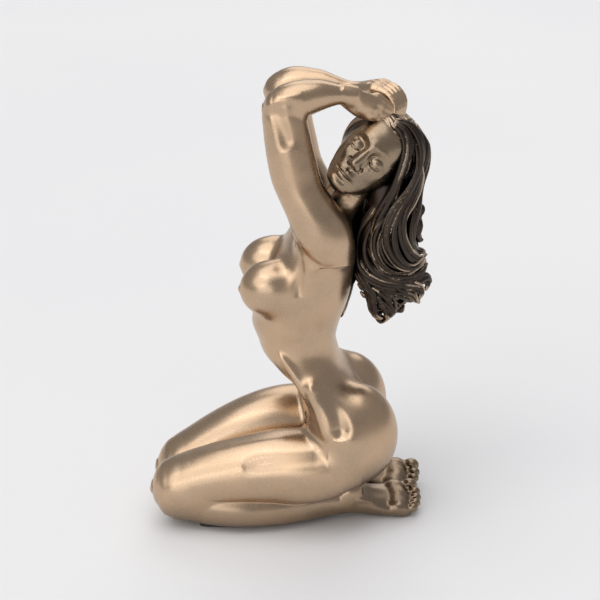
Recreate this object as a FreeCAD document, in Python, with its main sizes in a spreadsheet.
"""Kneeling bronze statuette with raised arms: a hollow trunk and solid limbs, cast in sections and doweled.

The figure faces -Y, +X is its left and +Z is up. It rests on felt pads whose undersides lie in the plane z = 0.
Units are millimetres. Thicknesses and radii are cells of the spreadsheet "Sizes", and each casting's section
centres stand beside the sections. A section row is (x, y, z, share of its width, share of its height).
"""

import FreeCAD, Part

import os

from FreeCAD import Placement, Rotation, Vector

SIZES = {
    # trunk
    "trunk_wide": 20.0, "trunk_deep": 15.0, "wall": 3.0, "sleeve_wall": 1.8, "sleeve_tall": 9.0,
    "breast_wide": 9.4, "breast_deep": 11.8, "breast_tall": 10.2,
    "buttock_wide": 14.4, "buttock_deep": 16.2, "buttock_tall": 19.3,
    # legs and feet
    "thigh_wide": 14.4, "thigh_tall": 14.8, "calf_wide": 9.4, "calf_tall": 7.8,
    "foot_wide": 7.6, "foot_tall": 6.2, "heel_round": 5.3, "toe_round": 2.1,
    # arms and hands
    "upper_arm": 9.6, "forearm": 6.7, "palm_wide": 5.6, "palm_deep": 3.2, "finger_round": 1.45,
    # head and hair
    "skull_side": 12.0, "skull_front": 14.6, "skull_tall": 14.4, "jaw_side": 8.8, "jaw_tall": 10.8,
    "neck_round": 7.2, "nose_round": 2.0, "cap_side": 15.2, "cap_front": 17.4, "cap_tall": 17.8,
    "fall_wide": 15.6, "fall_deep": 11.4, "lock_round": 4.2,
    # dowels, core plug and felt
    "dowel_round": 1.5, "dowel_play": 0.05, "plug_round": 4.0, "plug_tall": 5.0,
    "felt_thick": 0.8, "felt_wide": 2.8, "felt_long": 10.0,
}

WAIST_SEAM = 65.0  # height of the joint between torso and pelvis
PELVIS_FLOOR = 15.0  # height of the pelvis's flat underside
SIDEWAYS = Vector(1, 0, 0)
BACKWARD = Vector(0, 1, 0)
UPWARD = Vector(0, 0, 1)

# Joint centres of the arms and legs, (x, y, z).
SHOULDER = {"left": (18.0, 10.5, 111.0), "right": (-18.0, 9.5, 111.0)}
ELBOW = {"left": (14.8, -3.0, 158.0), "right": (-14.5, -2.2, 157.5)}
WRIST = {"left": (11.5, 19.5, 160.2), "right": (-9.0, 22.5, 156.6)}
ANKLE = {"left": (8.0, 20.0, 7.0), "right": (-15.6, 20.0, 7.0)}
SIGN = {"left": 1, "right": -1}

# The head leans back and turns to the figure's left.
HEAD = Vector(4.5, 28.0, 137.5)
FACE = Vector(0.93, -0.18, 0.32)
CROWN = Vector(-0.091, 0.729, 0.675)


# Moves the figure so that its bounding box is centred over the origin.
CENTRING = Vector(0.0, 0.9, 0.0)


def spot(point):
    """The point's place in the document."""
    return Vector(*point) + CENTRING


def new_sheet(doc):
    """The driving dimensions, one aliased cell a row."""
    sheet = doc.addObject("Spreadsheet::Sheet", "Sizes")
    for row, (alias, value) in enumerate(SIZES.items(), start=1):
        sheet.set(f"A{row}", alias)
        sheet.set(f"B{row}", str(value))
        sheet.setAlias(f"B{row}", alias)
    doc.recompute()


def facing(wide_axis, normal):
    """The rotation that lays Z along normal and X along wide_axis, squared up to it."""
    z = Vector(normal).normalize()
    x = Vector(wide_axis) - z * z.dot(wide_axis)
    x.normalize()
    return Rotation(x, z.cross(x), z, "ZXY")


def bind(obj, **sizes):
    """Binds each named property to an expression in the sheet's aliases."""
    for prop, text in sizes.items():
        words = [f"Sizes.{word}" if word in SIZES else word for word in text.split()]
        obj.setExpression(prop, " ".join(words))


HEAD_TURN = facing(FACE.cross(CROWN) * -1, CROWN)


def on_head(side, back, up):
    """A point given in the head's own axes: to its left, to its back and towards its crown."""
    return HEAD + HEAD_TURN.multVec(Vector(side, back, up))


class Workshop:
    """Adds features to one document."""

    def __init__(self, doc):
        self.doc = doc

    def section(self, name, centre, wide_axis, normal, wide, deep):
        """An ellipse whose width, the larger size, lies along wide_axis."""
        ellipse = self.doc.addObject("Part::Ellipse", name)
        ellipse.MajorRadius = 1000
        bind(ellipse, MinorRadius=deep, MajorRadius=wide)
        ellipse.Placement = Placement(spot(centre), facing(wide_axis, normal))
        return ellipse

    def loft(self, name, sections):
        loft = self.doc.addObject("Part::Loft", name)
        loft.Sections = sections
        loft.Solid = True
        return loft

    def stack(self, name, wide, deep, wide_axis, normal, rows, less="0"):
        """A loft through parallel ellipses, each less that much all round."""
        return self.loft(name, [
            self.section(f"{name}_{i}", row[:3], wide_axis, normal,
                         f"{wide} * {row[3]} - ( {less} )", f"{deep} * {row[4]} - ( {less} )")
            for i, row in enumerate(rows)
        ])

    def limb(self, name, size, start, end, rows):
        """A round limb from start to end. A row is (share of the way, share of size)."""
        a, b = Vector(*start), Vector(*end)
        return self.loft(name, [
            self.section(f"{name}_{i}", a + (b - a) * t, SIDEWAYS, b - a, f"{size} * {r}", f"{size} * {r}")
            for i, (t, r) in enumerate(rows)
        ])

    def strand(self, name, size, points, shares):
        """A lock of hair through points, as thick at each as its share of size."""
        spots = [Vector(*p) for p in points]
        ends = list(zip(spots[:1] + spots[:-1], spots[1:] + spots[-1:]))
        rounds = [f"{size} * {share}" for share in shares]
        return self.loft(name, [
            self.section(f"{name}_{i}", spot, SIDEWAYS, after - before, round_here, round_here)
            for i, (spot, (before, after), round_here) in enumerate(zip(spots, ends, rounds))
        ])

    def ellipsoid(self, name, centre, side, front, up, turn=Rotation()):
        ball = self.doc.addObject("Part::Ellipsoid", name)
        bind(ball, Radius1=up, Radius2=side, Radius3=front)
        ball.Placement = Placement(spot(centre), turn)
        return ball

    def rod(self, name, start, end, radius):
        a, b = Vector(*start), Vector(*end)
        rod = self.doc.addObject("Part::Cylinder", name)
        bind(rod, Radius=radius)
        rod.Height = (b - a).Length
        rod.Placement = Placement(spot(a), Rotation(UPWARD, b - a))
        return rod

    def slab(self, name, low, high):
        """A box between two corners."""
        box = self.doc.addObject("Part::Box", name)
        box.Length, box.Width, box.Height = (b - a for a, b in zip(low, high))
        box.Placement = Placement(spot(low), Rotation())
        return box

    def fuse(self, name, *shapes):
        joined = self.doc.addObject("Part::MultiFuse", name)
        joined.Shapes = list(shapes)
        return joined

    def common(self, name, base, tool):
        shared = self.doc.addObject("Part::Common", name)
        shared.Base, shared.Tool = base, tool
        return shared

    def cut(self, name, base, *tools):
        """The base less each tool in turn."""
        for i, tool in enumerate(tools):
            result = self.doc.addObject("Part::Cut", f"{name}_{i}")
            result.Base, result.Tool = base, tool
            base = result
        return base


# Trunk sections, waist to neck and waist to seat.
TORSO_ROWS = [
    (0, 2.9, WAIST_SEAM, 0.93, 0.92), (0, 1.9, 70, 0.91, 0.95), (0, 1.6, 76, 0.94, 1.02),
    (0, 3.6, 84, 1.02, 1.08), (0, 6.4, 92, 1.08, 1.02), (0, 8.2, 100, 1.12, 0.93),
    (0, 10.2, 107, 1.13, 0.8), (0, 12.2, 113, 1.02, 0.6), (0, 14.6, 118, 0.62, 0.45),
    (0.4, 15.4, 121, 0.4, 0.38),
]
PELVIS_ROWS = [
    (0, 2.9, WAIST_SEAM, 0.93, 0.92), (0, 5.6, 60, 1.05, 0.86), (0, 10.0, 55, 1.2, 0.8),
    (0, 15.4, 48, 1.36, 0.88), (0, 18.6, 42, 1.43, 1.0), (0, 21.0, 34, 1.43, 1.0),
    (0, 21.0, 26, 1.35, 0.94), (0, 20.0, 19, 1.15, 0.73), (0, 19.0, PELVIS_FLOOR, 0.8, 0.45),
]
CORE_ROWS = PELVIS_ROWS[7:0:-1] + TORSO_ROWS[:7]


def trunk(shop):
    """Torso and pelvis castings over one hollow core, with the sleeve in their joint and the core plug."""
    breast_radii = ("breast_wide", "breast_deep", "breast_tall")
    breasts = [shop.ellipsoid(f"{side}_breast", (SIGN[side] * 12.5, y, z), *breast_radii)
               for side, y, z in (("left", -6.5, 91.4), ("right", -7.2, 92.0))]
    chest = shop.stack("torso_loft", "trunk_wide", "trunk_deep", SIDEWAYS, UPWARD, TORSO_ROWS)
    torso = shop.fuse("torso_solid", chest, *breasts)
    buttock_radii = ("buttock_wide", "buttock_deep", "buttock_tall")
    seats = [shop.ellipsoid(f"{side}_buttock", (SIGN[side] * 14.5, y, z), *buttock_radii)
             for side, y, z in (("left", 22.0, 36.5), ("right", 19.6, 38.0))]
    hips = shop.stack("pelvis_loft", "trunk_wide", "trunk_deep", SIDEWAYS, UPWARD, PELVIS_ROWS)
    pelvis = shop.fuse("pelvis_solid", hips, *seats)
    core = shop.stack("core", "trunk_wide", "trunk_deep", SIDEWAYS, UPWARD, CORE_ROWS, "wall")
    half = SIZES["sleeve_tall"] / 2
    band = shop.slab("sleeve_band", (-40, -40, WAIST_SEAM - half), (40, 40, WAIST_SEAM + half))
    outer, inner = (
        shop.stack(name, "trunk_wide", "trunk_deep", SIDEWAYS, UPWARD, CORE_ROWS, less)
        for name, less in (("sleeve_outside", "wall + dowel_play"),
                           ("sleeve_inside", "wall + dowel_play + sleeve_wall"))
    )
    sleeve = shop.cut("waist_sleeve", shop.common("sleeve_block", outer, band), inner)
    mouth = (0, 19.0, PELVIS_FLOOR)
    top = (0, 19.0, PELVIS_FLOOR + SIZES["plug_tall"])
    slot = shop.slab("plug_slot", (-5, 18.5, PELVIS_FLOOR - 1), (5, 19.5, PELVIS_FLOOR + 1.2))
    plug = shop.cut("core_plug", shop.rod("plug_rod", mouth, top, "plug_round"), slot)
    bore = shop.rod("plug_bore", mouth, top, "plug_round + dowel_play")
    return torso, pelvis, core, sleeve, plug, bore


# Thigh sections run from the knee to the hip, (x, y, z, share of height, share of width).
THIGH_ROWS = {
    "left": [
        (11.6, -49.6, 15.2, 0.24, 0.24), (11.6, -48.2, 15.2, 0.47, 0.47), (11.7, -45, 15.2, 0.67, 0.67),
        (11.8, -40, 15.6, 0.78, 0.78), (12.6, -31, 18.4, 0.83, 0.83), (13.6, -20, 21.2, 0.88, 0.88),
        (14.8, -7, 23.6, 0.95, 0.95), (15.6, 4, 24.4, 1, 1), (16, 15, 26, 0.94, 0.94), (16, 22, 28, 0.7, 0.7),
    ],
    "right": [
        (-11.4, -50.6, 13.2, 0.24, 0.24), (-11.4, -49, 13.2, 0.47, 0.47), (-11.4, -45.5, 13.2, 0.67, 0.67),
        (-11.6, -40, 14.6, 0.78, 0.78), (-12.6, -31, 19.2, 0.83, 0.83), (-13.6, -20, 23.6, 0.88, 0.88),
        (-14.8, -7, 26.8, 0.95, 0.95), (-15.6, 4, 27.6, 1, 1), (-16, 15, 28, 0.94, 0.94),
        (-16, 22, 29, 0.7, 0.7),
    ],
}
CALF_ROWS = {
    "left": [
        (12.2, -46, 10, 0.5, 0.55), (12.6, -41, 8.8, 0.8, 0.92), (13.6, -33, 8.4, 0.93, 1),
        (15, -22, 8.3, 1, 1), (14.8, -10, 8.2, 0.97, 0.98), (12.6, 3, 7.8, 0.8, 0.9),
        (9.8, 13, 7.2, 0.65, 0.76), ANKLE["left"] + (0.6, 0.7),
    ],
    "right": [
        (-12, -46, 9, 0.5, 0.55), (-12.4, -41, 8.4, 0.8, 0.92), (-13.6, -33, 8.3, 0.93, 1),
        (-15.6, -22, 8.3, 1, 1), (-16.6, -10, 8.2, 0.97, 0.98), (-16.6, 3, 7.8, 0.8, 0.9),
        (-16, 13, 7.2, 0.65, 0.76), ANKLE["right"] + (0.6, 0.7),
    ],
}
# The feet lie sole up; the left one points inward under the right one's toes.
FOOT_ROWS = {
    "left": [(8.3, 18.5, 7, 0.74, 0.88), (6.8, 25, 7.2, 0.82, 0.97), (5, 31, 5.8, 0.9, 0.83),
             (3, 37, 4.7, 1, 0.64), (1.6, 41.4, 4.0, 0.99, 0.5)],
    "right": [(-15.5, 18.5, 7, 0.74, 0.88), (-15.8, 25, 7.4, 0.82, 0.98), (-16, 31, 6.2, 0.9, 0.9),
              (-16.2, 36, 5.5, 0.98, 0.8), (-16.2, 39.6, 5.4, 0.97, 0.72)],
}
TOE_TIPS = {
    "left": [(-3.9, 41.8, 4.4, 1.15), (-0.9, 43.2, 4.3, 0.9), (1.9, 43.4, 4.1, 0.86), (4.5, 43, 3.8, 0.82),
             (6.8, 42, 3.5, 0.78)],
    "right": [(-11, 42, 5.6, 1.15), (-14, 42.2, 5.8, 0.9), (-16.8, 41.6, 5.9, 0.86), (-19.3, 40.6, 5.9, 0.82),
              (-21.5, 39.2, 5.8, 0.78)],
}
HEEL = {"left": (7.6, 20.4, 12.4), "right": (-15.6, 20.4, 12.4)}


def leg(shop, side, pelvis, floor):
    """Thigh folded down on calf in one casting, cut off at the ankle and hollowed to seat on the pelvis."""
    thigh = shop.stack(f"{side}_thigh", "thigh_tall", "thigh_wide", UPWARD, BACKWARD, THIGH_ROWS[side])
    calf = shop.stack(f"{side}_calf", "calf_wide", "calf_tall", SIDEWAYS, BACKWARD, CALF_ROWS[side])
    return shop.cut(f"{side}_leg_solid", shop.fuse(f"{side}_leg_block", thigh, calf), pelvis, floor)


def foot(shop, side, pelvis, floor):
    sole = shop.stack(f"{side}_sole", "foot_wide", "foot_tall", SIDEWAYS, BACKWARD, FOOT_ROWS[side])
    x, y, z = HEEL[side]
    heel_line = [(x, y, z + rise) for rise in (-5, 0, 3.5, 5.2)]
    heel = shop.strand(f"{side}_heel", "heel_round", heel_line, (0.9, 1, 0.8, 0.45))
    seam = shop.slab(f"{side}_ankle_trim", (-40, -20, -20), (40, ANKLE[side][1], 40))
    toes = []
    for i, (x, y, z, share) in enumerate(TOE_TIPS[side]):
        toe_line = [(x, y + ahead, z) for ahead in (-4, 0, 1.8, 3)]
        taper = (share, share, 0.85 * share, 0.45 * share)
        toes.append(shop.strand(f"{side}_toe_{i}", "toe_round", toe_line, taper))
    block = shop.fuse(f"{side}_foot_block", sole, heel, *toes)
    return shop.cut(f"{side}_foot_solid", block, pelvis, floor, seam)


UPPER_ARM_ROWS = [
    (-0.14, 0.35), (-0.08, 0.8), (0.04, 1.03), (0.18, 1.02), (0.45, 0.9), (0.72, 0.84), (0.88, 0.8),
    (0.98, 0.6), (1.03, 0.3),
]
FOREARM_ROWS = [(-0.06, 0.7), (0.12, 1), (0.35, 0.97), (0.6, 0.74), (0.82, 0.55), (1, 0.49)]


def arm(shop, side, torso):
    upper = shop.limb(f"{side}_upper_arm", "upper_arm", SHOULDER[side], ELBOW[side], UPPER_ARM_ROWS)
    fore = shop.limb(f"{side}_forearm", "forearm", ELBOW[side], WRIST[side], FOREARM_ROWS)
    return shop.cut(f"{side}_arm_solid", shop.fuse(f"{side}_arm_block", upper, fore), torso)


# Along each hand: the palm's section centres, then each finger's knuckle, middle joint and tip.
PALM_ROWS = {
    "left": [
        WRIST["left"] + (0.59, 1.0), (10, 23.5, 159, 0.8, 0.95), (7.6, 27.5, 157, 1, 0.85),
        (6, 30.2, 155.2, 0.95, 0.6),
    ],
    "right": [
        WRIST["right"] + (0.59, 1.0), (-6.6, 26.5, 158.2, 0.8, 0.95), (-3.2, 31, 159.4, 1, 0.85),
        (-0.8, 34, 159.2, 0.95, 0.6),
    ],
}
PALM_WIDE_AXIS = {"left": Vector(0.85, 0.1, -0.5), "right": Vector(0.6, -0.3, -0.75)}
FINGERS = {
    "left": [
        ((9.4, 30.2, 153.4), (8.4, 34, 151.6), (7.2, 37, 149.4)),
        ((6.9, 30.8, 154.6), (5.6, 34.8, 152.4), (4.6, 38, 150)),
        ((4.2, 30.8, 155.6), (3, 34.6, 153.6), (2.2, 37.6, 151)),
        ((1.8, 30.2, 156), (0.6, 33.6, 154.4), (0, 36.4, 152.2)),
    ],
    "right": [
        ((2.4, 33.2, 157), (5.6, 36, 155.2), (7.2, 37.2, 151.4)),
        ((1, 34.8, 158), (4, 38, 156), (5.6, 39.6, 151.8)),
        ((-1, 35.6, 158.8), (1.4, 39.4, 156.6), (2.8, 41.2, 152.4)),
        ((-3, 35.6, 159), (-1.4, 39.4, 156.8), (-0.6, 41.6, 153)),
    ],
}


def hand(shop, side, *tools):
    along = Vector(*PALM_ROWS[side][2][:3]) - Vector(*WRIST[side])
    palm = shop.stack(f"{side}_palm", "palm_wide", "palm_deep", PALM_WIDE_AXIS[side], along, PALM_ROWS[side])
    fingers = [shop.strand(f"{side}_finger_{i}", "finger_round", joints, (1.1, 1, 0.7))
               for i, joints in enumerate(FINGERS[side])]
    block = shop.fuse(f"{side}_hand_block", palm, *fingers)
    return shop.cut(f"{side}_hand_solid", block, *tools)


def head(shop, torso):
    """Skull, jaw, nose and neck."""
    skull_radii = ("skull_side", "skull_front", "skull_tall")
    skull = shop.ellipsoid("skull", on_head(0, 1.2, 2.4), *skull_radii, HEAD_TURN)
    jaw = shop.ellipsoid("jaw", on_head(0, -4.6, -6), "jaw_side", "jaw_side", "jaw_tall", HEAD_TURN)
    nose_radii = ("nose_round", "nose_round * 1.3", "nose_round * 2")
    nose = shop.ellipsoid("nose", on_head(0, -13.4, -2), *nose_radii, HEAD_TURN)
    neck_rows = [(0, 1.0), (0.35, 1), (0.7, 1), (1, 1.1)]
    neck = shop.limb("neck", "neck_round", (0.5, 13.6, 114.5), on_head(0, 3, -8), neck_rows)
    return shop.cut("head_solid", shop.fuse("head_block", skull, jaw, nose, neck), torso)


FALL_ROWS = [
    (-4, 33.5, 137, 0.8, 0.9), (-3.4, 34, 128, 0.88, 0.98), (-2.4, 34.4, 118, 0.96, 0.94),
    (-1.6, 34.2, 108, 1, 0.92),
    (-1, 35.4, 98, 1, 1), (-0.8, 36, 91, 1, 1), (-0.8, 35.4, 86, 0.94, 0.9), (-0.8, 34.6, 82.6, 0.8, 0.6),
]
LOCKS = {
    "temple_lock": (
        [(9.4, 42.4, 139), (10.6, 43, 130), (10.6, 41.6, 118), (9.6, 39, 106), (8, 35.4, 95), (5, 31, 88)],
        (0.6, 0.95, 1, 1, 0.85, 0.4),
    ),
    "outer_lock": (
        [(-1, 44.6, 130), (0, 42.6, 119), (1, 41.6, 109), (2, 43.4, 99), (2.4, 44.6, 91), (1, 43.6, 83)],
        (0.5, 0.7, 0.9, 1.0, 1.0, 0.5),
    ),
    "lower_curl": ([(3, 34, 90), (2, 33, 84), (1.6, 33.4, 79), (3, 35.4, 76)], (0.9, 0.9, 0.75, 0.4)),
    "nape_lock": ([(-2, 25.4, 92), (-1, 23.4, 85), (0, 20.6, 80), (0.4, 18.9, 76.4)], (0.7, 0.55, 0.45, 0.35)),
}


def hair(shop, tools):
    """A cap that opens round the face, the fall behind the shoulders and four loose locks."""
    shell = shop.ellipsoid("cap_shell", on_head(0, 2.6, 2.8), "cap_side", "cap_front", "cap_tall", HEAD_TURN)
    window_radii = ("cap_side * 0.78", "cap_front", "cap_tall * 1.15")
    window = shop.ellipsoid("face_window", on_head(0, -19, -9), *window_radii, HEAD_TURN)
    made, in_place = {}, list(tools)
    for name, (points, shares) in LOCKS.items():
        made[name] = shop.cut(f"{name}_solid", shop.strand(name, "lock_round", points, shares), *in_place)
        in_place.append(made[name])
    made["hair_cap"] = shop.cut("hair_cap_solid", shell, window, *in_place)
    in_place.append(made["hair_cap"])
    fall = shop.stack("fall_loft", "fall_wide", "fall_deep", SIDEWAYS, UPWARD, FALL_ROWS)
    made["hair_fall"] = shop.cut("hair_fall_solid", fall, *in_place)
    return made


# Each pin joins two castings: its two ends and its radius.
def pins():
    """Every dowel and peg by name."""
    found = {
        "neck_dowel": ((0.4, 13.8, 109.5), (2.2, 20.2, 122), "dowel_round"),
        "hair_peg": (on_head(0, 4, 9), on_head(0, 4.4, 18.6), "dowel_round * 0.6"),
        "fall_peg": (on_head(4, 6, -2), (-1, 35, 118), "dowel_round * 0.8"),
    }
    for side, sign in SIGN.items():
        shoulder, wrist, ankle = Vector(*SHOULDER[side]), Vector(*WRIST[side]), Vector(*ANKLE[side])
        up_arm = (Vector(*ELBOW[side]) - shoulder).normalize()
        along = (wrist - Vector(*ELBOW[side])).normalize()
        found[f"{side}_shoulder_dowel"] = (shoulder - up_arm * 1.2, shoulder + up_arm * 11, "dowel_round")
        found[f"{side}_wrist_dowel"] = (wrist - along * 4.5, wrist + along * 3.2, "dowel_round * 0.5")
        found[f"{side}_hip_dowel"] = ((sign * 15.5, 12.4, 26), (sign * 15.5, -1, 26), "dowel_round")
        found[f"{side}_ankle_dowel"] = (ankle - BACKWARD * 5, ankle + BACKWARD * 5, "dowel_round")
    return found


# Felt strips under the shins and the balls of the feet: the middle (x, y) and the shares of width and length.
PADS = {
    "left_shin_pad": (14.4, -24, 1, 1), "right_shin_pad": (-15.2, -24, 1, 1),
    "left_foot_pad": (3.8, 34, 1, 0.4), "right_foot_pad": (-16.1, 34, 1, 0.4),
}


def felt_pad(shop, name, middle, castings):
    """A felt strip pressed to the casting above it."""
    x, y, wide, long = middle
    strip = shop.slab(f"{name}_strip", (x, y, 0), (x + 1, y + 1, 1))
    bind(strip, Length=f"2 * felt_wide * {wide}", Width=f"2 * felt_long * {long}", Height="felt_thick")
    corner = spot((x - SIZES["felt_wide"] * wide, y - SIZES["felt_long"] * long, 0))
    strip.Placement = Placement(corner, Rotation())
    return shop.cut(f"{name}_solid", strip, *castings)


def build(doc):
    """Every sub-part of the statuette by name."""
    shop = Workshop(doc)
    torso, pelvis, core, sleeve, plug, plug_bore = trunk(shop)
    floor = shop.slab("floor", (-60, -80, -20), (60, 80, 0))
    parts = {"waist_sleeve": sleeve, "core_plug": plug}
    solids = {"torso_casting": torso, "pelvis_casting": pelvis}
    for side in SIGN:
        solids[f"{side}_leg"] = leg(shop, side, pelvis, floor)
        solids[f"{side}_foot"] = foot(shop, side, pelvis, floor)
        solids[f"{side}_arm"] = arm(shop, side, torso)
    solids["head"] = head(shop, torso)
    solids["left_hand"] = hand(shop, "left", solids["left_arm"], solids["head"])
    solids["right_hand"] = hand(shop, "right", solids["right_arm"], solids["head"], solids["left_hand"])
    limbs = [solids[f"{side}_{limb}"] for side in SIGN for limb in ("arm", "hand")]
    beside_hair = [torso, solids["head"]] + limbs
    solids.update(hair(shop, beside_hair))

    bores = {"torso_casting": [core], "pelvis_casting": [core, plug_bore]}
    joined = {
        "neck_dowel": ("torso_casting", "head"), "hair_peg": ("head", "hair_cap"),
        "fall_peg": ("head", "hair_cap", "hair_fall"),
    }
    for side in SIGN:
        joined[f"{side}_shoulder_dowel"] = ("torso_casting", f"{side}_arm")
        joined[f"{side}_wrist_dowel"] = (f"{side}_arm", f"{side}_hand")
        joined[f"{side}_hip_dowel"] = ("pelvis_casting", f"{side}_leg")
        joined[f"{side}_ankle_dowel"] = (f"{side}_leg", f"{side}_foot")
    for name, (start, end, radius) in pins().items():
        parts[name] = shop.rod(name, start, end, radius)
        bore = shop.rod(f"{name}_bore", start, end, f"{radius} + dowel_play")
        for casting in joined[name]:
            bores.setdefault(casting, []).append(bore)
    for name, solid in solids.items():
        parts[name] = shop.cut(f"{name}_bored", solid, *bores[name]) if name in bores else solid
    for name, middle in PADS.items():
        side, limb = name.split("_")[:2]
        casting = f"{side}_foot" if limb == "foot" else f"{side}_leg"
        parts[name] = felt_pad(shop, name, middle, [solids[casting]])
    return parts


def main():
    doc = FreeCAD.newDocument("statuette")
    new_sheet(doc)
    parts = build(doc)
    doc.recompute()
    for obj in doc.Objects:
        if "Invalid" in obj.State or "Error" in obj.State:
            raise RuntimeError(f"{obj.Name} failed to compute: {obj.State}")
    os.makedirs("parts", exist_ok=True)
    for name, part in parts.items():
        part.Label = name
        if part.Shape.isNull() or not part.Shape.isValid() or not part.Shape.Solids:
            raise RuntimeError(f"{name} has no valid solid")
        part.Shape.exportStep(f"parts/{name}.step")


main()
